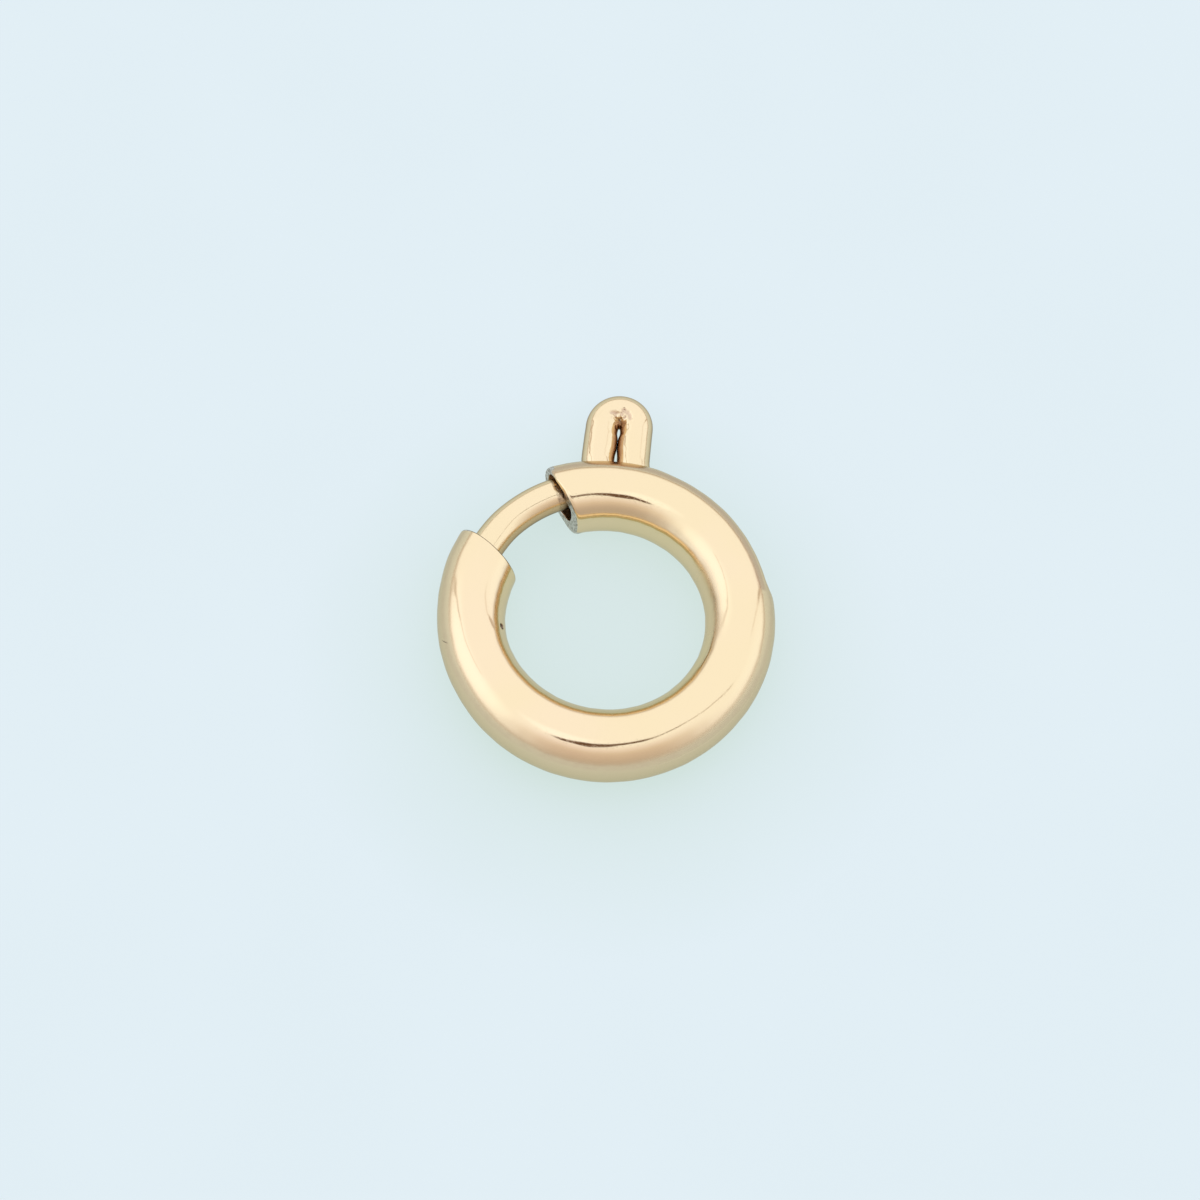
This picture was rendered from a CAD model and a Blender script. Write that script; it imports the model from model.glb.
from math import asin, atan2, cos, degrees, pi, radians, sin, sqrt

import bmesh
import bpy
import numpy as np
from mathutils import Matrix, Vector


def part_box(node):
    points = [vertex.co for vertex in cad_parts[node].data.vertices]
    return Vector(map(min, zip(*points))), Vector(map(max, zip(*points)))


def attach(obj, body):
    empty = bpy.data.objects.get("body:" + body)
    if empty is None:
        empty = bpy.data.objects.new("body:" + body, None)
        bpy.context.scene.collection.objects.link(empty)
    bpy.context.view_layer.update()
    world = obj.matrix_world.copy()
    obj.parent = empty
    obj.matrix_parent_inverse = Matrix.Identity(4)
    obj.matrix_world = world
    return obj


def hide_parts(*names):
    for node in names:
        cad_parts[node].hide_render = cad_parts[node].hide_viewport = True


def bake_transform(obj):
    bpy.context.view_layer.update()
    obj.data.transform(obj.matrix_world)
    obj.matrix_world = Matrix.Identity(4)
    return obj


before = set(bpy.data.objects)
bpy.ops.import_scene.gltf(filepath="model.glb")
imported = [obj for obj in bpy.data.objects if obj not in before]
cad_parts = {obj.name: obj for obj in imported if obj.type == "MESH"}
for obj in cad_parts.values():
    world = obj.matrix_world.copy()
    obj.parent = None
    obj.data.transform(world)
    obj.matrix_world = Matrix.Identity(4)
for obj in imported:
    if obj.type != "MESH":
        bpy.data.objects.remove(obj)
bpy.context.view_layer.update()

mm = 0.001  # the dictionaries are in millimetres and degrees, the scene is in metres


def cadSize(node, corner, axis):
    # a node's lowest (0) or highest (1) corner, without the rounding of its mesh
    return round(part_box(node)[corner][axis] / mm * 200) / 200


# Camera: the photograph's view, with places in its own pixels
shot = {
    "elevation": 68,  # above the floor
    "azimuth": -3.2,  # where it stands, from straight in front of the lever
    "roll": 7.7,
    "photoWidth": 1200,
    "pixelsPerMm": 56.5,
    "ringCentre": (605.5, 620.9),  # pixel of the ring's centre
    "distance": 500,
    "sensorWidth": 36,
}


def makeCamera():
    tilt, turn, roll = (radians(shot[k]) for k in ("elevation", "azimuth", "roll"))
    right = Vector((cos(turn), sin(turn), 0))
    ahead = Vector((-sin(turn), cos(turn), 0))
    up = ahead * sin(tilt) + Vector((0, 0, cos(tilt)))
    back = right.cross(up)
    across = right * cos(roll) + up * sin(roll)
    upward = up * cos(roll) - right * sin(roll)

    middle = shot["photoWidth"] / 2
    aside = (middle - shot["ringCentre"][0]) / shot["pixelsPerMm"]
    above = (shot["ringCentre"][1] - middle) / shot["pixelsPerMm"]
    aim = across * aside + upward * above

    lens = bpy.data.cameras.new("camera")
    lens.sensor_width = shot["sensorWidth"]
    lens.lens = shot["sensorWidth"] * shot["distance"] / (shot["photoWidth"] / shot["pixelsPerMm"])
    lens.clip_start = 0.01
    lens.clip_end = 10
    camera = bpy.data.objects.new("camera", lens)
    place = Matrix((across, upward, back)).transposed().to_4x4()
    place.translation = (aim + back * shot["distance"]) * mm
    camera.matrix_world = place
    bpy.context.scene.collection.objects.link(camera)
    bpy.context.scene.camera = camera


makeCamera()
print("camera set")


# Node building, for the world and for the materials
def addNode(tree, kind, inputs=None, **settings):
    node = tree.nodes.new("ShaderNode" + kind)
    for name, value in settings.items():
        setattr(node, name, value)
    feedAll(tree, node, inputs or {})
    return node


def feed(tree, socket, value):
    if isinstance(value, bpy.types.NodeSocket):
        tree.links.new(value, socket)
    elif socket.type == "RGBA":
        socket.default_value = (*value, 1)
    else:
        socket.default_value = value


def feedAll(tree, node, values):
    for name, value in values.items():
        feed(tree, node.inputs[name], value)


def calc(tree, operation, *values):
    return addNode(tree, "Math", dict(enumerate(values)), operation=operation).outputs[0]


def vectorCalc(tree, operation, *values):
    node = addNode(tree, "VectorMath", dict(enumerate(values)), operation=operation)
    return node.outputs["Value" if operation == "DOT_PRODUCT" else "Vector"]


def softStep(tree, value, low, high):
    # 0 below low, 1 above high, smooth between
    return rampBetween(tree, value, low, high, interpolation_type="SMOOTHSTEP")


def rampBetween(tree, value, low, high, **settings):
    # 0 below low, 1 above high, straight between
    node = addNode(tree, "MapRange", {"Value": value, "From Min": low, "From Max": high}, **settings)
    return node.outputs["Result"]


def mixColours(tree, share, first, second):
    # the colours have sockets of their own among those for other kinds of value
    return addNode(tree, "Mix", {0: share, 6: first, 7: second}, data_type="RGBA").outputs[2]


def mixValues(tree, share, first, second):
    return addNode(tree, "Mix", {"Factor": share, "A": first, "B": second}).outputs[0]


def noise(tree, place, scale, detail, roughness=0.5):
    return addNode(tree, "TexNoise", {
        "Vector": place, "Scale": scale, "Detail": detail, "Roughness": roughness}).outputs[0]


def noiseOfSize(tree, place, size, detail, roughness=0.5):
    return noise(tree, place, calc(tree, "DIVIDE", 1.0, size), detail, roughness)


def newGroup(name, vectors, values, results):
    group = bpy.data.node_groups.new(name, "ShaderNodeTree")
    for side, kind, labels in (("INPUT", "Vector", vectors), ("INPUT", "Float", values),
                               ("OUTPUT", "Float", results)):
        for label in labels:
            group.interface.new_socket(label, in_out=side, socket_type="NodeSocket" + kind)
    return group, group.nodes.new("NodeGroupInput").outputs, group.nodes.new("NodeGroupOutput").inputs


def placeGroup(tree, group, values):
    return addNode(tree, "Group", values, node_tree=group).outputs


def newMaterial(name):
    material = bpy.data.materials.new(name)
    material.use_nodes = True
    return material, material.node_tree, material.node_tree.nodes["Principled BSDF"]


# Light: a soft white tent that is open towards the camera. Directions are azimuth and elevation as
# seen from the ring, colours are linear light.
studio = {
    "tent": (1.21, 1.29, 1.43),
    "skirt": (0.59, 0.51, 0.46),  # the tent's foot, darker up to skirtTop
    "skirtTop": 12.5,
    "openTowards": -82,
    "openCore": 14,  # the open side's sector, either way
    "openRim": 67,
    "bandEnds": (0.5, 1.5),  # how far inside and outside its ends a straight band fades
    "openSide": (  # elevation and colour, from the floor up
        (-2, (0.60, 0.56, 0.57)),
        (10, (0.66, 0.60, 0.57)),
        (30, (0.77, 0.69, 0.67)),
        (40, (0.86, 0.79, 0.77)),
        (50, (1.02, 0.98, 1.06)),
        (64, (1.21, 1.29, 1.43)),
    ),
    # azimuth, elevation, core, rim, strength and colour of the brighter places
    "lamps": (
        (183, 32, 5, 35, 1.0, (1.40, 1.50, 1.68)),
        (-122, 74, 3, 13, 1.0, (1.35, 1.44, 1.62)),
        (8, 22, 4, 22, 0.5, (1.25, 1.38, 1.55)),
    ),
    "lens": ((-94, 64.5, 4.5, 7.5), (-111, 62.5, 1.5, 5), (-80, 66, 1.5, 5)),
    "lensColour": (0.17, 0.10, 0.07),
    # two ends, half the width and the colour of each straight band
    "seams": (
        ((27, 46), (32, 23), 0.9, (1.02, 1.00, 1.05)),
        ((32, 23), (35, 5), 1.2, (0.66, 0.58, 0.54)),
        ((180, 57), (160, 42), 1.1, (1.04, 1.04, 1.10)),
        ((160, 42), (155, 24), 1.0, (0.84, 0.80, 0.82)),
        ((155, 24), (151, 0), 1.3, (0.70, 0.62, 0.58)),
    ),
    "arm": (
        ((-86, 67), (-46, 67.5), 2.8, (0.20, 0.13, 0.095)),
        ((-46, 67.5), (-16, 67), 1.3, (0.46, 0.40, 0.37)),
        ((-16, 67), (0, 46), 1.0, (0.72, 0.68, 0.68)),
    ),
}


def towards(azimuth, elevation):
    a, e = radians(azimuth), radians(elevation)
    return Vector((cos(a) * cos(e), sin(a) * cos(e), sin(e)))


def makeSpotGroup():
    group, given, result = newGroup("roundPatch", ["Direction", "Axis"], ["Rim", "Core"], ["Mask"])
    near = vectorCalc(group, "DOT_PRODUCT", given["Direction"], given["Axis"])
    feed(group, result["Mask"], softStep(group, near, given["Rim"], given["Core"]))
    return group


def makeStripeGroup():
    # a straight band on the sky, between two directions
    group, given, result = newGroup("straightBand", ["Direction", "Across", "Middle"],
                                    ["Half Width", "Far End", "Near End"], ["Mask"])
    aside = calc(group, "ABSOLUTE", vectorCalc(group, "DOT_PRODUCT", given["Direction"], given["Across"]))
    outer = calc(group, "MULTIPLY", given["Half Width"], 1.5)
    inner = calc(group, "MULTIPLY", given["Half Width"], 0.6)
    inside = softStep(group, aside, outer, inner)
    along = vectorCalc(group, "DOT_PRODUCT", given["Direction"], given["Middle"])
    reach = softStep(group, along, given["Far End"], given["Near End"])
    feed(group, result["Mask"], calc(group, "MULTIPLY", inside, reach))
    return group


def makeStudio():
    world = bpy.data.worlds.new("studio")
    world.use_nodes = True
    tree = world.node_tree
    tree.nodes.clear()
    spot, stripe = makeSpotGroup(), makeStripeGroup()
    direction = addNode(tree, "TexCoord").outputs["Generated"]
    parts = addNode(tree, "SeparateXYZ", {"Vector": direction}).outputs
    height = parts["Z"]
    levelReach = calc(tree, "SQRT", calc(tree, "SUBTRACT", 1.0, calc(tree, "MULTIPLY", height, height)))
    opening = towards(studio["openTowards"], 0)
    facing = calc(tree, "DIVIDE", vectorCalc(tree, "DOT_PRODUCT", direction, opening), levelReach)

    openSide = studio["openSide"][0][1]
    for (below, _), (above, colour) in zip(studio["openSide"], studio["openSide"][1:]):
        openSide = mixColours(tree, rampBetween(tree, height, sin(radians(below)), sin(radians(above))),
                              openSide, colour)
    tent = mixColours(tree, softStep(tree, height, sin(radians(-1)), sin(radians(studio["skirtTop"]))),
                      studio["skirt"], studio["tent"])
    light = mixColours(tree, softStep(tree, facing, cos(radians(studio["openRim"])),
                                      cos(radians(studio["openCore"]))), tent, openSide)

    def addPatch(light, azimuth, elevation, core, rim, strength, colour):
        mask = placeGroup(tree, spot, {
            "Direction": direction, "Axis": towards(azimuth, elevation),
            "Rim": cos(radians(rim)), "Core": cos(radians(core)),
        })["Mask"]
        return mixColours(tree, calc(tree, "MULTIPLY", mask, strength), light, colour)

    def addBand(light, first, last, halfWidth, colour):
        first, last = towards(*first), towards(*last)
        halfLength = first.angle(last) / 2
        inside, outside = (radians(a) for a in studio["bandEnds"])
        mask = placeGroup(tree, stripe, {
            "Direction": direction, "Across": first.cross(last).normalized(),
            "Middle": (first + last).normalized(), "Half Width": sin(radians(halfWidth)),
            "Far End": cos(halfLength + outside), "Near End": cos(halfLength - inside),
        })["Mask"]
        return mixColours(tree, mask, light, colour)

    for lamp in studio["lamps"]:
        light = addPatch(light, *lamp)
    for band in (*studio["seams"], *studio["arm"]):
        light = addBand(light, *band)
    for place in studio["lens"]:
        light = addPatch(light, *place, 1.0, studio["lensColour"])
    background = addNode(tree, "Background", {"Color": light, "Strength": 1.0})
    tree.links.new(background.outputs[0], addNode(tree, "OutputWorld").inputs["Surface"])
    bpy.context.scene.world = world
    view = bpy.context.scene.view_settings
    view.view_transform = "Standard"
    view.look = "None"


makeStudio()
print("light set")


# Effects that the materials share
polish = {
    "turns": (0.5, 2.2),  # of the two sets of hairlines, in radians
    "thinness": 0.02,  # a hairline's width to its length
    "dullScale": 900,  # of the noise that dulls the shine
}


def makePolishMarks():
    # what a polishing wheel leaves: faint ripples, and hairlines in two crossed directions
    group, given, result = newGroup(
        "polishMarks", [], ["Ripple Size", "Hairline Size", "Hairline Share"], ["Height", "Dulling"])
    place = addNode(group, "TexCoord").outputs["Object"]
    ripple = noiseOfSize(group, place, given["Ripple Size"], 2.0, 0.45)
    hairlines = []
    for turn in polish["turns"]:
        turned = addNode(group, "VectorRotate", {"Vector": place, "Angle": turn}, rotation_type="Z_AXIS")
        drawn = vectorCalc(group, "MULTIPLY", turned.outputs[0], (1.0, polish["thinness"], 1.0))
        streak = noiseOfSize(group, drawn, given["Hairline Size"], 1.0)
        hairlines.append(softStep(group, streak, 0.66, 0.78))
    lines = calc(group, "MAXIMUM", *hairlines)
    shown = calc(group, "MULTIPLY", lines, given["Hairline Share"])
    feed(group, result["Height"], calc(group, "SUBTRACT", ripple, shown))
    dull = noise(group, place, polish["dullScale"], 3.0)
    feed(group, result["Dulling"], calc(group, "MAXIMUM", softStep(group, dull, 0.45, 0.75), shown))
    return group


def makeSurfaceMask():
    # one of the masks that a mesh carries, with a ragged rim and a grain of its own
    group, given, result = newGroup(
        "raggedMask", [], ["Mask", "Grain Size", "Raggedness"], ["Mask", "Grain"])
    place = addNode(group, "TexCoord").outputs["Object"]
    grain = noiseOfSize(group, place, given["Grain Size"], 3.0, 0.6)
    centred = calc(group, "SUBTRACT", grain, 0.5)
    pushed = calc(group, "ADD", given["Mask"], calc(group, "MULTIPLY", centred, given["Raggedness"]))
    inside = calc(group, "MULTIPLY", softStep(group, pushed, 0.25, 0.75),
                  softStep(group, given["Mask"], 0.0, 0.1))
    feed(group, result["Mask"], inside)
    feed(group, result["Grain"], grain)
    return group


polishMarks = makePolishMarks()
raggedMask = makeSurfaceMask()

# Rose gold, and what becomes of it where it is sawn, hazy, unpolished or soiled. Colours are linear.
roseGold = {
    "colour": (0.82, 0.635, 0.405),
    "yellower": (0.81, 0.635, 0.385),
    "cloudScale": 450,
    "roughness": 0.07,
    "dullRoughness": 0.11,
}
sawnGold = {
    "colour": (0.72, 0.69, 0.64),
    "dark": (0.32, 0.29, 0.25),
    "roughness": 0.33,
    "depth": 2.8e-6,  # of the saw's marks, in metres
}
hazyGold = {"colour": (0.80, 0.62, 0.39), "roughness": 0.30}
wornGold = {"colour": (0.64, 0.46, 0.30), "roughness": 0.17}
unpolishedGold = {"colour": (0.45, 0.365, 0.25), "roughness": 0.15}
tarnishedGold = {"colour": (0.62, 0.42, 0.23), "roughness": 0.30}
soiledGold = {"colour": (0.19, 0.13, 0.085), "roughness": 0.30}


def makeRoseGold(name, rippleSize, rippleHeight, hairlineShare, edgeTint):
    material, tree, shader = newMaterial(name)
    feedAll(tree, shader, {"Metallic": 1.0, "Specular Tint": edgeTint})  # the tint shows at grazing angles
    marks = placeGroup(tree, polishMarks, {
        "Ripple Size": rippleSize * mm, "Hairline Size": 0.012 * mm, "Hairline Share": hairlineShare})
    cloud = noise(tree, addNode(tree, "TexCoord").outputs["Object"], roseGold["cloudScale"], 2.0)
    colour = mixColours(tree, softStep(tree, cloud, 0.35, 0.65), roseGold["colour"], roseGold["yellower"])
    rough = mixValues(tree, marks["Dulling"], roseGold["roughness"], roseGold["dullRoughness"])

    def lay(mask, metal, newColour=None):
        laid = mixColours(tree, mask, colour, metal["colour"] if newColour is None else newColour)
        return laid, mixValues(tree, mask, rough, metal["roughness"])

    def meshMask(label, grainSize, raggedness):
        drawn = addNode(tree, "Attribute", attribute_name=label).outputs["Fac"]
        return placeGroup(tree, raggedMask, {
            "Mask": drawn, "Grain Size": grainSize * mm, "Raggedness": raggedness})

    for label, metal in (("hazy", hazyGold), ("unpolished", unpolishedGold), ("tarnished", tarnishedGold)):
        colour, rough = lay(addNode(tree, "Attribute", attribute_name=label).outputs["Fac"], metal)
    colour, rough = lay(meshMask("worn", 0.12, 0.3)["Mask"], wornGold)
    sawn = meshMask("sawn", 0.055, 0.6)
    bare = mixColours(tree, softStep(tree, sawn["Grain"], 0.41, 0.58), sawnGold["dark"], sawnGold["colour"])
    colour, rough = lay(sawn["Mask"], sawnGold, bare)
    colour, rough = lay(meshMask("soiled", 0.05, 0.5)["Mask"], soiledGold)

    ripples = addNode(tree, "Bump", {"Distance": rippleHeight * mm, "Height": marks["Height"]})
    filed = addNode(tree, "Bump", {
        "Distance": sawnGold["depth"], "Height": calc(tree, "MULTIPLY", sawn["Grain"], sawn["Mask"]),
        "Normal": ripples.outputs[0]})
    feedAll(tree, shader, {"Base Color": colour, "Roughness": rough, "Normal": filed.outputs[0]})
    return material


springSteel = {
    "colour": (0.60, 0.58, 0.55),
    "stain": (0.42, 0.34, 0.26),
    "roughness": 0.22,
    "wornRoughness": 0.38,
    "depth": 0.5e-6,  # of its drawing marks, in metres
}


def makeSpringSteel():
    material, tree, shader = newMaterial("springSteel")
    marks = placeGroup(tree, polishMarks, {
        "Ripple Size": 0.05 * mm, "Hairline Size": 0.006 * mm, "Hairline Share": 0.6})
    rough = mixValues(tree, marks["Dulling"], springSteel["roughness"], springSteel["wornRoughness"])
    bump = addNode(tree, "Bump", {"Distance": springSteel["depth"], "Height": marks["Height"]})
    feedAll(tree, shader, {
        "Base Color": mixColours(tree, marks["Dulling"], springSteel["colour"], springSteel["stain"]),
        "Metallic": 1.0, "Roughness": rough, "Normal": bump.outputs[0]})
    return material


ringMetal = makeRoseGold("ringRoseGold", rippleSize=0.55, rippleHeight=0.0016, hairlineShare=0.25,
                         edgeTint=(0.82, 0.79, 0.73))
gateMetal = makeRoseGold("gateRoseGold", rippleSize=0.20, rippleHeight=0.0017, hairlineShare=0.45,
                         edgeTint=(0.62, 0.56, 0.50))
springMetal = makeSpringSteel()


# Mesh building
def smoothStep(x, low, high):
    t = np.clip((np.asarray(x, float) - low) / (high - low), 0, 1)
    return t * t * (3 - 2 * t)


def fall(x, low, high):
    return 1 - smoothStep(x, low, high)


def within(x, riseFrom, riseTo, fallFrom, fallTo):
    return smoothStep(x, riseFrom, riseTo) * fall(x, fallFrom, fallTo)


def nearest(values, x):
    return int(np.argmin(abs(values - x)))


def unit(vectors):
    return vectors / np.linalg.norm(vectors, axis=1, keepdims=True)


def azimuthOf(places):
    return np.degrees(np.arctan2(places[:, 1], places[:, 0]))


def wallFaces(first, second):
    # faces between two rings of vertex numbers
    return np.stack([first, np.roll(first, -1), np.roll(second, -1), second], -1).tolist()


def roundedTable(x, table, column, grid, reach, width, period=None):
    # a column's value at x, by the table's first column, with its corners rounded off
    known = np.array(table)
    value = np.interp(grid, known[:, 0], known[:, column], period=period)
    spread = np.exp(-(np.arange(-reach, reach + 1) / width) ** 2)
    value = np.pad(value, reach, mode="wrap" if period else "edge")
    value = np.convolve(value, spread / spread.sum(), mode="valid")
    return np.interp(x, grid, value, period=period)


def addPiece(name, points, faces, material, **masks):
    mesh = bpy.data.meshes.new(name)
    mesh.from_pydata((np.asarray(points) * mm).tolist(), [], faces)
    for label, mask in masks.items():
        mesh.attributes.new(label, "FLOAT", "POINT").data.foreach_set("value", np.asarray(mask, np.float32))
    work = bmesh.new()
    work.from_mesh(mesh)
    bmesh.ops.recalc_face_normals(work, faces=work.faces)
    for face in work.faces:
        face.smooth = True
    work.to_mesh(mesh)
    work.free()
    mesh.materials.append(material)
    piece = bpy.data.objects.new(name, mesh)
    bpy.context.scene.collection.objects.link(piece)
    return piece


# Ring tube: one closed shell, laid out on the ring's azimuth and the angle round its section, where 0 is
# the outer side, 90 the top and 180 the inner side
ring = {
    "outerRadius": cadSize("ring_tube", 1, 0),
    "halfHeight": cadSize("ring_tube", 1, 2),
    "halfWidth": 0.612,
    "wallOuter": 0.13,
    "wallInner": 0.27,
    "wallTop": 0.17,
    "skewFades": 28,  # degrees along the ring over which a cut's skew dies away
    "boreRound": 0.018,
    "slotHalfHeight": 0.3275,
    "slotFrom": 12.7 + 360,
    "slotTo": 102.5 + 360,
    "lipRound": 0.022,
    "mouthReach": 6.6,  # degrees that a mouth's own loops take up
    "patchFrom": 5 + 360,  # the slot's patch of mesh
    "patchTo": 105 + 360,
    "patchAngle": 48,
    "punchAzimuth": 192.5,
    "punchAngle": 148,
    "punchRadius": 0.057,
    "punchDepth": 0.09,
    "bossRadius": 0.15,
    "bossHeight": 0.20,
}
# The two cuts: their turn away from straight across, the side that the tube lies on, how far the polish has
# run back from the cut and down its wall, how the cut leans, how far its inner lip is pressed in, how far
# the bore is opened out at its top, and angles round the section with how far the rim is filed back there
gateMouth = {"azimuth": 112.6 + 360, "skew": 8.0, "side": -1, "bevel": 0.080, "drop": 0.036,
             "lean": 0.050, "lip": 0.120, "flare": 0.075,
             "filed": [(-150, 0.029), (-135, 0.042), (-120, 0.048), (-105, 0.056), (-90, 0.049),
                       (-60, 0.012), (0, 0.008), (30, 0.004), (54, -0.036), (69, -0.047), (84, -0.030),
                       (96, -0.012), (108, -0.010), (130, 0.007), (142, 0.022), (180, 0.022)]}
tipMouth = {"azimuth": 154.1, "skew": -12.3, "side": 1, "bevel": 0.030, "drop": 0.024,
            "lean": 0.0, "lip": 0.0, "flare": 0.0, "filed": [(0, 0.0)]}
ring["tubeRadius"] = ring["outerRadius"] - ring["halfWidth"]
ring["boreHalfWidth"] = ring["halfWidth"] - (ring["wallOuter"] + ring["wallInner"]) / 2
ring["boreHalfHeight"] = ring["halfHeight"] - ring["wallTop"]
ring["boreRadius"] = ring["tubeRadius"] + (ring["wallInner"] - ring["wallOuter"]) / 2

# How far the bent tube strays from an even ring: azimuth, outer side outwards, inner side inwards
ringStrays = [
    (0, 0.008, 0.007), (60, 0, 0.005), (94, 0.002, 0.006), (106, 0.024, 0.006), (114, 0.034, 0.006),
    (152, 0.036, 0.006), (164, 0.022, 0.024), (171, -0.006, 0.020), (184, -0.016, 0.002),
    (198, -0.013, -0.012), (212, -0.018, 0.006), (230, 0.006, 0.024), (248, 0.014, 0.038),
    (268, 0.022, 0.045), (292, 0.014, 0.034), (320, 0.003, 0.024), (342, 0.003, 0.014),
]
# How far the slot's lips are turned in: azimuth and depth
lipDips = [(11.4, 0.0), (14.5, 0.012), (30, 0.017), (50, 0.012), (68, 0.012), (76, 0.0)]
# Scratches: azimuth, angle round the section, half length round it, degrees along the ring for each degree
# round it, half width, depth
scratches = [(195.3, 26.5, 9.0, 0.167, 0.012, 0.005)]
# Faint waves of the skin: height, turns along the ring, turns round the section, phase
ringWaves = [(0.0011, 23, 2, 0.4), (0.0009, 37, 3, 1.9), (0.0007, 53, -4, 3.1), (0.0010, 11, 1, 5.0)]


def strayAt(azimuth, column):
    return roundedTable(azimuth, ringStrays, column, np.arange(360), 12, 4.5, period=360)


def boreAngleOf(angle):
    # the bore's angle straight under an angle of the outer skin
    return angle + 9.8 * np.sin(np.radians(angle))


def tubePlace(outerAngle, boreAngle, share):
    # radius and height, from the outer skin (share 0) to the bore (share 1)
    o, b = np.radians(outerAngle), np.radians(boreAngle)
    outR = ring["tubeRadius"] + ring["halfWidth"] * np.cos(o)
    outZ = ring["halfHeight"] * np.sin(o)
    inR = ring["boreRadius"] + ring["boreHalfWidth"] * np.cos(b)
    inZ = ring["boreHalfHeight"] * np.sin(b)
    return outR + (inR - outR) * share, outZ + (inZ - outZ) * share


def wallAt(outerAngle, boreAngle):
    r0, z0 = tubePlace(outerAngle, boreAngle, 0.0)
    r1, z1 = tubePlace(outerAngle, boreAngle, 1.0)
    return np.hypot(r1 - r0, z1 - z0)


def cutAzimuth(mouth, radius):
    run = ring["tubeRadius"] * sin(radians(mouth["skew"]))
    return mouth["azimuth"] + mouth["skew"] - np.degrees(np.arcsin(run / radius))


def skewedAzimuth(station, radius):
    # stations are azimuths at the tube's centreline; near a mouth the columns lean with its cut
    moved = station
    for mouth in (tipMouth, gateMouth):
        near = fall((station - mouth["azimuth"]) * mouth["side"], 0, ring["skewFades"])
        moved = moved + (cutAzimuth(mouth, radius) - mouth["azimuth"]) * near
    return moved


def sectionAngles():
    # degrees round the section, closer together where the punch mark is
    fine = np.arange(138, 162, 1.2)
    coarse = [a for a in np.arange(-180, 180, 3.0) if not 138 <= a < 162]
    return np.sort(np.concatenate([coarse, fine]))


def stations(first, last, step):
    return np.linspace(first, last, int(round((last - first) / step)) + 1)


def mouthLoops(mouth, angles):
    # rounded outer edge, sawn face, round into the bore
    boreAngles = boreAngleOf(angles)
    wall = wallAt(angles, boreAngles)
    bevel, drop = mouth["bevel"], mouth["drop"]
    atTop = within(angles, 35, 60, 96, 112)
    inner = ring["boreRound"] + mouth["flare"] * atTop
    pressed = mouth["lip"] * np.exp(-((angles - 112) / 22) ** 2) / wall
    filed = np.interp(angles, *zip(*mouth["filed"]), period=360)
    # the top of the cut is polished, its outer and lower rim is as bare as its face
    bareRim = within(angles, -178, -160, 30, 60)
    bareFace = 0.15 + 0.85 * np.maximum(fall(angles, 30, 60), smoothStep(angles, 92, 118))
    # how far back from the cut, how deep in the wall or what share of its rest, how bare
    quarter = np.radians(np.arange(0, 91, 11.25))
    rows = [(bevel + x, 0.0, 0.0, 0.0) for x in (0.06, 0.03, 0.015, 0.006)]
    rows += [(bevel * (1 - sin(a)), drop * (1 - cos(a)), 0.0, bareFace if a > 1.3 else bareRim)
             for a in quarter]
    rows += [(0.0, drop, k, bareFace) for k in (0.08, 0.3, 0.6, 0.92)]
    rows += [(inner * (1 - cos(a)), None, sin(a), bareFace * (a < 0.9)) for a in quarter[::2]]
    rows += [(inner + x, None, 1.0, 0.0) for x in (0.01, 0.03, 0.08)]
    loops = []
    for back, depth, part, bare in rows:
        thick = 1 + pressed * fall(back, 0.02, 0.12)
        if depth is None:
            share = thick - inner * (1 - part) / wall
        else:
            share = (depth + (wall * thick - drop - inner) * part) / wall
        radius, z = tubePlace(angles, boreAngles, share)
        forward = (mouth["lean"] * (ring["halfHeight"] - z) - filed) * fall(back, 0.05, 0.25)
        azimuth = cutAzimuth(mouth, radius) + mouth["side"] * np.degrees((back - forward) / radius)
        loops.append((azimuth, angles, boreAngles, share, bare + np.zeros(len(angles))))
    return loops


def skinLoop(station, angles, share):
    boreAngles, none = boreAngleOf(angles), np.zeros(len(angles))
    radius, _ = tubePlace(angles, boreAngles, share)
    return skewedAzimuth(station, radius), angles, boreAngles, none + share, none


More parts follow.
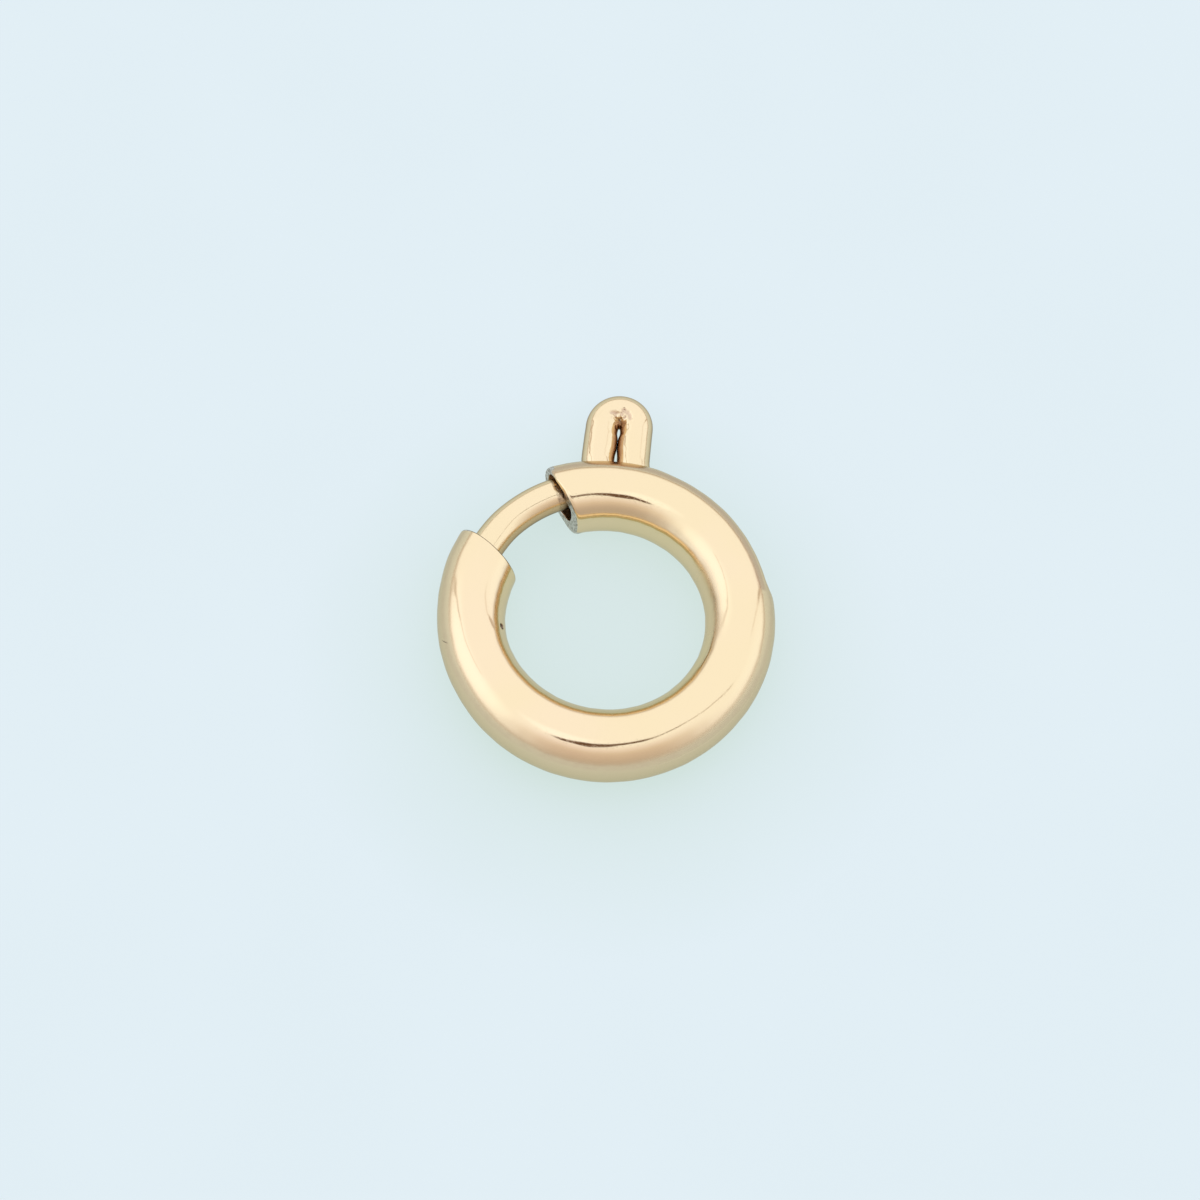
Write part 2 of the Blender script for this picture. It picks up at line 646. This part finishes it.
def slotRings(skinRim, boreRim):
    # rings of points from the patch's rim on the skin, down the slot's lip, to the rim in the bore
    half, lip, inner = ring["slotHalfHeight"], ring["lipRound"], ring["boreRound"]
    rounding = degrees(asin(half / ring["outerRadius"]))
    first, last = ring["slotFrom"] + rounding, ring["slotTo"] - rounding

    def spread(azimuth, angle, share):
        base = np.clip(azimuth, first, last)
        radius, z = tubePlace(angle, angle, share)
        x = radius * np.sin(np.radians(azimuth - base))
        far = np.hypot(x, z)
        return base, x / far, z / far, far

    base, ux, uz, far = spread(*skinRim, 0)
    base1, vx, vz, farBore = spread(*boreRim, 1)

    def rimPoints(offset, share, sunk=0, sawn=0):
        # sunk is how much deeper in the wall they lie than that share of it
        x = ux + (vx - ux) * share
        z = uz + (vz - uz) * share
        size = np.hypot(x, z)
        x, z = x / size * offset, z / size * offset
        outerAngle = np.degrees(np.arcsin(np.clip(z / ring["halfHeight"], -1, 1)))
        boreAngle = np.degrees(np.arcsin(np.clip(z / ring["boreHalfHeight"], -1, 1)))
        depth = share + sunk / wallAt(outerAngle, boreAngle)
        radius, _ = tubePlace(outerAngle, boreAngle, depth)
        azimuth = base + (base1 - base) * share + np.degrees(np.arcsin(x / radius))
        return azimuth, outerAngle, boreAngle, depth, np.full(len(x), float(sawn))

    quarter = np.radians(np.arange(0, 91, 22.5))
    start, end = half + lip + 0.012, half + inner
    rings = [rimPoints(start + (far - start) * k, 0) for k in (0.72, 0.48, 0.28, 0.13, 0.04, 0.0)]
    rings += [rimPoints(half + lip * (1 - sin(a)), 0, lip * (1 - cos(a)), a > 1) for a in quarter]
    rings += [rimPoints(half, k, sawn=1) for k in (0.35, 0.7)]
    rings += [rimPoints(half + inner * (1 - cos(a)), 1, inner * (sin(a) - 1), a < 0.6) for a in quarter]
    return rings + [rimPoints(end + (farBore - end) * k, 1) for k in (0.1, 0.3, 0.6)]


def scratchAt(scratch, azimuth, outerAngle):
    where, turned, halfLength, lean, halfWidth, _ = scratch
    above = outerAngle - turned
    along = np.radians(azimuth - where - lean * above) * ring["outerRadius"] / halfWidth
    return np.exp(-along ** 2 - (above / halfLength) ** 4)


def ringSurface(azimuth, outerAngle, boreAngle, share):
    # places on the ring, how far the punch pushes them, and the mask of the dirt beside it
    radius, z = tubePlace(outerAngle, boreAngle, share)
    angle = np.radians(outerAngle + (boreAngle - outerAngle) * share)
    outward, inward = (1 + np.cos(angle)) / 2, (1 - np.cos(angle)) / 2
    radius = radius + strayAt(azimuth, 1) * outward - strayAt(azimuth, 2) * inward
    a = np.radians(azimuth)
    radius = radius + sum(h * np.sin(n * a + m * angle + p) for h, n, m, p in ringWaves) * np.cos(angle)
    dip = np.interp(azimuth % 360, *zip(*lipDips))
    radius = radius - dip * fall(abs(z), 0.30, 0.58) * (abs(angle) < pi / 2)
    for scratch in scratches:
        groove = scratchAt(scratch, azimuth, outerAngle) * scratch[-1] * (share < 0.5)
        radius = radius - groove * np.cos(angle)
        z = z - groove * np.sin(angle)
    points = np.stack([radius * np.cos(a), radius * np.sin(a), z], -1)

    # the punch strikes from the mark's place towards the tube's centreline
    r0, z0 = tubePlace(ring["punchAngle"], ring["punchAngle"], 0.0)
    r0 = r0 - strayAt(ring["punchAzimuth"], 2) * (1 - cos(radians(ring["punchAngle"]))) / 2
    spoke = np.array([cos(radians(ring["punchAzimuth"])), sin(radians(ring["punchAzimuth"])), 0])
    mark, heart = spoke * r0 + (0, 0, z0), spoke * ring["tubeRadius"]
    stroke = (heart - mark) / np.linalg.norm(heart - mark)
    away = points - mark
    beside = np.linalg.norm(away - np.outer(away @ stroke, stroke), axis=1)
    near = away @ stroke < 0.6
    pit = ring["punchDepth"] * fall(beside, ring["punchRadius"] * 0.55, ring["punchRadius"])
    boss = ring["bossHeight"] * fall(beside, ring["bossRadius"] * 0.6, ring["bossRadius"])
    push = np.where(share < 0.5, pit, boss) * near
    dirt = fall(beside, ring["punchRadius"], ring["punchRadius"] * 1.25) * near * (share < 0.5)
    dirt = dirt * smoothStep(azimuth - ring["punchAzimuth"], -2.5, -1.0)
    return points, np.outer(push, stroke), dirt


# How strongly each mark shows on the ring, from 0 to 1, and how wide the wear beside the slot is
ringMarks = {
    "wearWidth": 0.32,
    "patchyWear": 0.42,
    "footUnpolished": 0.15,
    "innerUnpolished": 0.26,
    "footHaze": 0.75,
    "punchDirt": 0.85,
    "lipDirt": 0.8,
    "tipRimDirt": 0.62,
}


def ringMasks(points, azimuth, outerAngle, share, pushed, punchDirt):
    outside, turned = share < 0.5, abs(outerAngle)
    # the metal is worn beside the slot, and rubbed in patches along the outer side
    first, last = ring["slotFrom"] - 360 + 1.5, gateMouth["azimuth"] - 360 + 2
    past = radians(1) * ring["outerRadius"] * np.maximum(np.maximum(first - azimuth, azimuth - last), 0)
    beside = np.maximum(abs(points[:, 2]) - ring["slotHalfHeight"], 0)
    worn = fall(np.hypot(past * 2.5, beside), ringMarks["wearWidth"] * 0.4, ringMarks["wearWidth"])
    worn = worn * (0.3 + 0.7 * smoothStep(beside, 0.08, 0.16))
    patchy = ringMarks["patchyWear"] * within(outerAngle, 18, 26, 34, 42)
    worn = np.maximum(worn, patchy) * (turned < 85) * (share < 0.97)
    # the polishing wheel hardly reaches the ring's foot and its inner side
    foot = ringMarks["footUnpolished"] * fall(outerAngle, 32, 48) * (turned < 100)
    inner = ringMarks["innerUnpolished"] * within(turned, 124, 134, 137, 143)
    # a haze lies on the foot, most of all at the lower right, and on the inner side across from the punch
    footHaze = ringMarks["footHaze"] + (1 - ringMarks["footHaze"]) * within(azimuth, 255, 300, 335, 352)
    footHaze = footHaze * fall(outerAngle, 36, 62) * (turned < 100)
    fromMark = abs((azimuth - ring["punchAzimuth"]) % 360 - 180)
    innerHaze = fall(fromMark, 14, 34) * smoothStep(turned, 116, 130)
    hazy = np.maximum(footHaze, innerHaze) * outside
    # dirt lies in the punch mark, at the tip mouth's rim, under the gate mouth's top lip and in scratches
    atRim = np.degrees(1 / ring["outerRadius"]) * tipMouth["bevel"]
    rim = abs(azimuth - cutAzimuth(tipMouth, np.hypot(points[:, 0], points[:, 1]))) < atRim
    pit = smoothStep(pushed, 0.014, 0.022) * outside
    under = smoothStep(azimuth, 98, 106) * (azimuth < 130) * smoothStep(share, 0.4, 0.8)
    under = under * within(outerAngle, 40, 55, 105, 125)
    soiled = np.maximum.reduce([
        np.maximum(pit, punchDirt) * ringMarks["punchDirt"], under * ringMarks["lipDirt"],
        rim * (share < 0.9) * ringMarks["tipRimDirt"],
        *(scratchAt(scratch, azimuth, outerAngle) * outside for scratch in scratches)])
    return {"unpolished": foot + inner, "tarnished": share > 0.97, "worn": worn, "soiled": soiled,
            "hazy": hazy}


def makeRing():
    angles = sectionAngles()
    count = len(angles)
    tip = tipMouth["azimuth"] + ring["mouthReach"]
    gate = gateMouth["azimuth"] - ring["mouthReach"] + 0.4
    patch = stations(ring["patchFrom"], ring["patchTo"], 1.0)
    skin = np.concatenate([
        stations(tip, 188, 1.0), stations(188.3, 196.7, 0.3),
        stations(197.5, ring["patchFrom"] - 1, 1.0), patch, [gate],
    ])
    bore = np.concatenate([
        stations(tip, 172, 1.5), stations(176, 186, 2.0),
        stations(187, 198, 0.8), stations(201, ring["patchFrom"] - 2, 4.0), patch, [gate],
    ])
    tipLoops = mouthLoops(tipMouth, angles)
    gateLoops = mouthLoops(gateMouth, angles)
    loops = [skinLoop(s, angles, 0.0) for s in skin]
    loops += gateLoops
    loops += [skinLoop(s, angles, 1.0) for s in bore[::-1]]
    loops += tipLoops[::-1]

    firstSkin = nearest(skin, patch[0])
    lastSkin = firstSkin + len(patch) - 1
    lastBore = len(skin) + len(gateLoops) + len(bore) - 1 - nearest(bore, patch[0])
    low, high = nearest(angles, -ring["patchAngle"]), nearest(angles, ring["patchAngle"])

    faces = []
    for i in range(len(loops)):
        inPatch = firstSkin <= i < lastSkin or lastBore - len(patch) < i < lastBore
        here, there = i * count, (i + 1) % len(loops) * count
        for j in range(count):
            k = (j + 1) % count
            if not (inPatch and low <= j < high):
                faces.append((here + j, there + j, there + k, here + k))

    def rim(column):
        # the patch's rim as vertex numbers, with column giving the loop of each station
        along = range(len(patch))
        steps = [(i, low) for i in along] + [(len(patch) - 1, j) for j in range(low + 1, high + 1)]
        steps += [(i, high) for i in along[-2::-1]] + [(0, j) for j in range(high - 1, low, -1)]
        return np.array([column(i) * count + j for i, j in steps])

    skinRim = rim(lambda i: firstSkin + i)
    boreRim = rim(lambda i: lastBore - i)
    table = [np.concatenate([loop[c] for loop in loops]) for c in range(5)]
    rings = slotRings((table[0][skinRim], table[1][skinRim]), (table[0][boreRim], table[2][boreRim]))
    size = len(skinRim)
    ids = [skinRim]
    for k, points in enumerate(rings):
        ids.append(len(loops) * count + k * size + np.arange(size))
        table = [np.concatenate([table[c], points[c]]) for c in range(5)]
    ids.append(boreRim)
    for outer, inner in zip(ids, ids[1:]):
        faces += wallFaces(outer, inner)

    points, push, dirt = ringSurface(*table[:4])
    points = points + push
    used = np.unique(np.array(faces))
    renumber = np.full(len(points), -1)
    renumber[used] = np.arange(len(used))
    faces = renumber[np.array(faces)].tolist()
    azimuth, outerAngle, _, share, sawn = (column[used] for column in table)
    points = points[used]
    pushed = np.linalg.norm(push[used], axis=1)
    masks = ringMasks(points, azimuth % 360, outerAngle, share, pushed, dirt[used])
    piece = addPiece("ringTube", points, faces, ringMetal, sawn=sawn, **masks)
    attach(piece, "ring")
    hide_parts("ring_tube")


makeRing()
print("ring tube made")


# Gate wire: the gate and the folded lever are one wire, swept along its centreline in the ring's mid-plane
wire = {
    "radius": 0.2975,
    "play": 0.045,  # between the gate and the bore's outer wall
    "tipAzimuth": 164.5,
    "tailAzimuth": 62,
    "tipTaper": 0.14,
    "tipShare": 0.6,  # of the wire's radius, at the tip's end
    "tailShare": 0.85,  # and at the tail's
    "bendRadius": 0.40,
    "leverReach": cadSize("gate_wire", 1, 1),
    "slit": 0.022,
    "longer": 0.018,  # reach of the lever beyond its nominal one
    "lift": 0.035,  # the gate rises in the bore's play where it comes out
    "tipDrift": -0.024,  # the gate closes a little nearer the ring's centre at its tip
    "step": 0.03,
    "foldStep": 0.0075,
    "sides": 128,
    "soiledFrom": 108,  # where the gate rubs on the mouth's rim
    "soiledTo": 117.2,
}
wire["gateRadius"] = ring["boreRadius"] + ring["boreHalfWidth"] - wire["play"] - wire["radius"]
# How strongly each mark shows on the gate and its lever, from 0 to 1
gateMarks = {"tarnish": 0.75, "flankWear": 0.75, "foldDirt": 0.6, "rubDirt": 0.45, "slitDirt": 0.36,
             "tipDirt": 0.4}

# The lever was folded by hand: along Y, how far it leans to the right, how much wider it is than it should
# be, and how far its legs stand apart
leverShape = [
    (2.60, 0, 0, 0.022), (2.90, -0.016, 0, 0.028), (3.04, -0.034, 0, 0.044),
    (3.16, -0.032, -0.002, 0.034), (3.26, -0.028, -0.005, 0.001), (3.49, -0.019, -0.013, 0.001),
    (3.52, -0.017, -0.015, 0.030), (3.59, -0.013, -0.018, 0.048), (3.66, -0.010, -0.020, 0.028),
    (3.90, 0, -0.012, 0.022), (4.30, 0.008, 0, 0.022),
]
# The inside of the fold is crushed into a pit, which widens upwards along Y
foldPit = {"from": 3.62, "to": 3.795, "floor": 0.02, "rise": 0.85, "sideRise": 0.10, "halfWidth": 0.050,
           "widening": 0.42, "softness": 0.005}
# and its skin is puckered round the pit: place, half lengths, turn in degrees, depth and staining
puckers = [
    (-0.124, 3.864, 0.088, 0.036, 6, 0.022, 1.0),
    (-0.094, 3.826, 0.036, 0.034, 40, 0.012, 0.8),
    (-0.050, 3.902, 0.032, 0.024, -40, -0.009, 0.0),
    (0.052, 3.926, 0.054, 0.050, -20, 0.026, 1.0),
    (0.012, 3.868, 0.040, 0.048, 35, 0.020, 0.9),
    (-0.030, 3.824, 0.026, 0.024, 30, -0.010, 0.0),
    (0.158, 3.832, 0.044, 0.094, 16, 0.022, 0.85),
    (0.108, 3.890, 0.046, 0.044, -30, 0.016, 0.9),
    (0.106, 3.748, 0.032, 0.028, 40, -0.013, 0.0),
    (0.078, 3.812, 0.028, 0.040, -35, 0.014, 0.8),
]


def arcPoints(centreX, centreY, radius, start, end, step):
    count = max(3, int(abs(radians(end - start)) * radius / step) + 1)
    a = np.radians(np.linspace(start, end, count))
    return np.stack([centreX + radius * np.cos(a), centreY + radius * np.sin(a)], -1)


def wireLine():
    leg = wire["radius"] + wire["slit"] / 2
    bend, gate = wire["bendRadius"], wire["gateRadius"]
    bendX = leg + bend
    bendY = sqrt((gate + bend) ** 2 - bendX ** 2)
    bendAt = degrees(atan2(bendY, bendX))
    hairpinY = wire["leverReach"] - wire["radius"] - leg
    step = wire["step"]
    legRise = np.linspace(bendY, hairpinY, int((hairpinY - bendY) / step * 2) + 1)
    line = [
        arcPoints(0, 0, gate, wire["tipAzimuth"], 180 - bendAt, step),
        arcPoints(-bendX, bendY, bend, -bendAt, 0, step)[1:],
        np.stack([np.full(len(legRise), -leg), legRise], -1)[1:],
        arcPoints(0, hairpinY, leg, 180, 0, wire["foldStep"])[1:],
        np.stack([np.full(len(legRise), leg), legRise[::-1]], -1)[1:],
        arcPoints(bendX, bendY, bend, 180, 180 + bendAt, step)[1:],
        arcPoints(0, 0, gate, bendAt, wire["tailAzimuth"], step)[1:],
    ]
    return np.concatenate(line)


def leverAt(y, column):
    return roundedTable(y, leverShape, column, np.arange(2.4, 4.5, 0.005), 16, 5.5)


def leanLever(line):
    leg = wire["radius"] + wire["slit"] / 2
    side = np.clip(line[:, 0] / leg, -1, 1)
    moved = line.copy()
    moved[:, 0] += leverAt(line[:, 1], 1) + side * leverAt(line[:, 1], 2) / 2
    moved[:, 1] += wire["longer"] * smoothStep(line[:, 1], 3.2, 4.0)
    return moved


def partLegs(points):
    # the legs' inner flanks give way where the gap between them is wider
    aside = points[:, 0] - leverAt(points[:, 1], 1)
    wider = leverAt(points[:, 1], 3) - leverAt(points[:, 1], 2) - wire["slit"]
    inner = fall(abs(aside), 0.02, 0.30) * within(points[:, 1], 2.6, 2.9, 3.70, 3.85)
    moved = points.copy()
    moved[:, 0] += np.sign(aside) * wider / 2 * inner
    return moved


def sweepWire(line, radii, sides):
    # round wire along a line in the plane, with its end caps
    tangent = unit(np.gradient(line, axis=0))
    normal = np.stack([-tangent[:, 1], tangent[:, 0]], -1)
    turn = 2 * pi * np.arange(sides) / sides
    flat = line[:, None, :] + normal[:, None, :] * (radii[:, None] * np.cos(turn))[..., None]
    height = radii[:, None] * np.sin(turn)
    points = np.concatenate([flat, height[..., None]], -1).reshape(-1, 3)
    ends = [np.append(line[0], 0), np.append(line[-1], 0)]
    return np.concatenate([points, ends]), tubeFaces(len(line), sides)


def tubeFaces(rings, sides):
    # walls of a tube of rings, closed by fans round its last two points
    faces = []
    for i in range(rings - 1):
        here = i * sides + np.arange(sides)
        faces += wallFaces(here, here + sides)
    centre, rim = rings * sides, (rings - 1) * sides
    for j in range(sides):
        k = (j + 1) % sides
        faces += [(centre, k, j), (centre + 1, rim + j, rim + k)]
    return faces


def crushFold(points):
    # the pit and the puckers, on both faces of the lever; returns their masks too
    y = points[:, 1]
    x = points[:, 0] - leverAt(y, 1)
    z = abs(points[:, 2])
    up = np.clip(y - foldPit["from"], 0, 1)
    width = foldPit["halfWidth"] + foldPit["widening"] * up
    wander = x - 0.014 * np.sin(y * 41)
    pit = foldPit["floor"] + foldPit["rise"] * up + foldPit["sideRise"] * abs(wander) / width
    pit = pit + 6 * np.clip(y - foldPit["to"] - 0.018 * np.sin(x * 70 + 1), 0, 1)
    pit = pit + 4 * np.clip(abs(wander) - width, 0, 1) + 6 * np.clip(foldPit["from"] - y, 0, 1)
    soft = foldPit["softness"]
    lowest = np.minimum(z, pit)
    cut = lowest - soft * np.log(np.exp(-(z - lowest) / soft) + np.exp(-(pit - lowest) / soft))
    near = (y > 3.6) & (abs(x) < 0.4) & (z > 0.02)
    cut = np.where(near, np.clip(cut, 0.01, None), z)
    sunk = smoothStep(z - cut, 0.01, 0.05)
    stained = np.zeros(len(points))
    for cx, cy, longHalf, shortHalf, turn, depth, stain in puckers:
        c, s = cos(radians(turn)), sin(radians(turn))
        u = ((x - cx) * c + (y - cy) * s) / longHalf
        v = ((y - cy) * c - (x - cx) * s) / shortHalf
        bump = np.where(near, np.exp(-(u * u + v * v) ** 1.3), 0)
        cut = cut - depth * bump
        stained = np.maximum(stained, stain * bump)
    tangle = np.sin(x * 95 + 2 * np.sin(y * 61)) * np.sin(y * 83 + 1.7 * np.sin(x * 57))
    around = np.exp(-((x / 0.17) ** 2 + ((y - 3.84) / 0.12) ** 2) ** 2)
    cut = cut + np.where(near, 0.006 * tangle * around, 0)
    out = points.copy()
    out[:, 2] = np.where(near, np.sign(points[:, 2]) * cut, points[:, 2])
    return out, sunk, stained


def makeGate():
    line = leanLever(wireLine())
    along = np.concatenate([[0], np.cumsum(np.linalg.norm(np.diff(line, axis=0), axis=1))])
    left = along[-1] - along
    tip = wire["tipShare"] + (1 - wire["tipShare"]) * smoothStep(along, 0, wire["tipTaper"])
    tail = wire["tailShare"] + (1 - wire["tailShare"]) * smoothStep(left, 0, 0.06)
    radii = wire["radius"] * tip * tail
    drift = wire["tipDrift"] * smoothStep(azimuthOf(line), 136, 152)
    line = line * (1 + drift / np.linalg.norm(line, axis=1))[:, None]
    points, faces = sweepWire(line, radii, wire["sides"])
    height = points[:, 2].copy()
    points, sunk, stained = crushFold(partLegs(points))
    a = azimuthOf(points)
    far = np.hypot(points[:, 0], points[:, 1])
    onGate = far < ring["outerRadius"]
    points[:, 2] += wire["lift"] * within(a, 101, 112, 116, 140) * onGate
    soiledFrom, soiledTo = wire["soiledFrom"], wire["soiledTo"]
    rubbed = within(a, soiledFrom, soiledFrom + 2, soiledTo - 2.5, soiledTo) * onGate
    atTip = smoothStep(a, 149.5, 153) * onGate
    # the legs are stained along their inner flanks, further out on the right one
    aside = points[:, 0] - leverAt(points[:, 1], 1)
    reach = np.where(aside > 0, 0.21, 0.16)
    onLegs = (points[:, 1] > 2.9) * fall(points[:, 1], 3.74, 3.79)
    flank = fall(abs(aside), 0.04, reach) * onLegs
    between = fall(abs(aside), 0.03, 0.10) * onLegs
    # the wire is less polished below, and tarnished on the gate's inner side
    inner = fall(far, wire["gateRadius"] - 0.05, wire["gateRadius"] + 0.05)
    unpolished = fall(height, 0.03, 0.17) * np.where(onGate, 0.5 + 0.5 * inner, 1.0)
    tarnished = gateMarks["tarnish"] * within(height, -0.02, 0.07, 0.14, 0.25) * inner * onGate
    worn = np.maximum(stained, flank * gateMarks["flankWear"])
    soiled = np.maximum.reduce([
        sunk * gateMarks["foldDirt"], rubbed * gateMarks["rubDirt"], between * gateMarks["slitDirt"],
        atTip * gateMarks["tipDirt"]])
    piece = addPiece("gateWire", points, faces, gateMetal, worn=worn, unpolished=unpolished,
                     tarnished=tarnished, soiled=soiled)
    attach(piece, "gate")
    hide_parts("gate_wire")


makeGate()
print("gate wire made")


# Return spring: six lengths of coil that close up one after another as the gate is drawn back, and a
# closed turn at each end, which stays with what it stands on
coil = {
    "wireRadius": 0.05,
    "radius": 0.29,
    "centreRadius": (wire["gateRadius"] + ring["boreRadius"]) / 2,
    "from": 60.7,  # at the gate's end
    "to": -161.9,  # at the punched stop
    "lengths": 6,
    "turnsEach": 4,
    "endTurns": 1,
    "endPitch": 0.112,
    "stepsPerTurn": 44,
    "sides": 12,
}


def coilPoints(fromAzimuth, toAzimuth, turns):
    # every length starts and ends at the top of the coil
    steps = int(turns * coil["stepsPerTurn"]) + 1
    part = np.linspace(0, 1, steps)
    azimuth = np.radians(fromAzimuth + (toAzimuth - fromAzimuth) * part)
    turn = pi / 2 + 2 * pi * turns * part
    rim = coil["centreRadius"] + coil["radius"] * np.cos(turn)
    line = np.stack([rim * np.cos(azimuth), rim * np.sin(azimuth), coil["radius"] * np.sin(turn)], -1)
    outward = np.stack([np.cos(turn) * np.cos(azimuth), np.cos(turn) * np.sin(azimuth), np.sin(turn)], -1)
    tangent = unit(np.gradient(line, axis=0))
    outward = unit(outward - tangent * np.sum(outward * tangent, 1, keepdims=True))
    beside = np.cross(tangent, outward)
    around = 2 * pi * np.arange(coil["sides"]) / coil["sides"]
    points = line[:, None] + coil["wireRadius"] * (
        outward[:, None] * np.cos(around)[:, None] + beside[:, None] * np.sin(around)[:, None])
    points = np.concatenate([points.reshape(-1, 3), line[:1], line[-1:]])
    return points, tubeFaces(steps, coil["sides"])


def makeSpring():
    endArc = degrees(coil["endTurns"] * coil["endPitch"] / coil["centreRadius"])
    first, last = coil["from"] - endArc, coil["to"] + endArc
    span = (last - first) / coil["lengths"]
    pieces = []
    for name, body, start, end in (("springGateEnd", "gate", coil["from"], first),
                                   ("springStopEnd", "ring", last, coil["to"])):
        piece = addPiece(name, *coilPoints(start, end, coil["endTurns"]), springMetal)
        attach(piece, body)
        pieces.append(piece)
    for k in range(coil["lengths"]):
        start, end = first + span * k, first + span * (k + 1)
        piece = addPiece(f"springLength{k + 1}", *coilPoints(start, end, coil["turnsEach"]), springMetal)
        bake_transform(piece)
        pieces.append(piece)
    for piece in pieces:
        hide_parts("return_spring")


makeSpring()
print("spring made")


# Floor: a pale sheet under the ring, lit from below as well, less so near the ring
floor = {
    "halfWidth": 400,
    "colour": (0.124, 0.099, 0.143),
    "shade": (0.118, 0.094, 0.137),
    "glow": (0.610, 0.733, 0.719),
    "glowNear": (0.560, 0.698, 0.645),
    "nearCentre": (0.0, -0.8),
    "nearRadius": 2.3,
    "farRadius": 5.5,
    "cloudScale": 260,
    "squares": 23,  # of its mesh, each way
}


def makeFloor():
    count = floor["squares"] + 1
    across = np.linspace(-floor["halfWidth"], floor["halfWidth"], count)
    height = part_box("ring_tube")[0].z / mm
    points = [(x, y, height) for y in across for x in across]
    faces = [(j * count + i, j * count + i + 1, (j + 1) * count + i + 1, (j + 1) * count + i)
             for j in range(count - 1) for i in range(count - 1)]
    material, tree, shader = newMaterial("paleSheet")
    place = addNode(tree, "TexCoord").outputs["Object"]
    cloud = noise(tree, place, floor["cloudScale"], 1.0)
    centre = Vector((*floor["nearCentre"], height)) * mm
    offset = vectorCalc(tree, "SUBTRACT", place, centre)
    distance = calc(tree, "SQRT", vectorCalc(tree, "DOT_PRODUCT", offset, offset))
    spread = rampBetween(tree, distance, floor["nearRadius"] * mm, floor["farRadius"] * mm)
    feedAll(tree, shader, {
        "Base Color": mixColours(tree, softStep(tree, cloud, 0.3, 0.7), floor["colour"], floor["shade"]),
        "Roughness": 0.7, "Specular IOR Level": 0.2,
        "Emission Color": mixColours(tree, spread, floor["glowNear"], floor["glow"]),
        "Emission Strength": 1.0,
    })
    addPiece("paleFloor", points, faces, material)


makeFloor()
print("floor made")
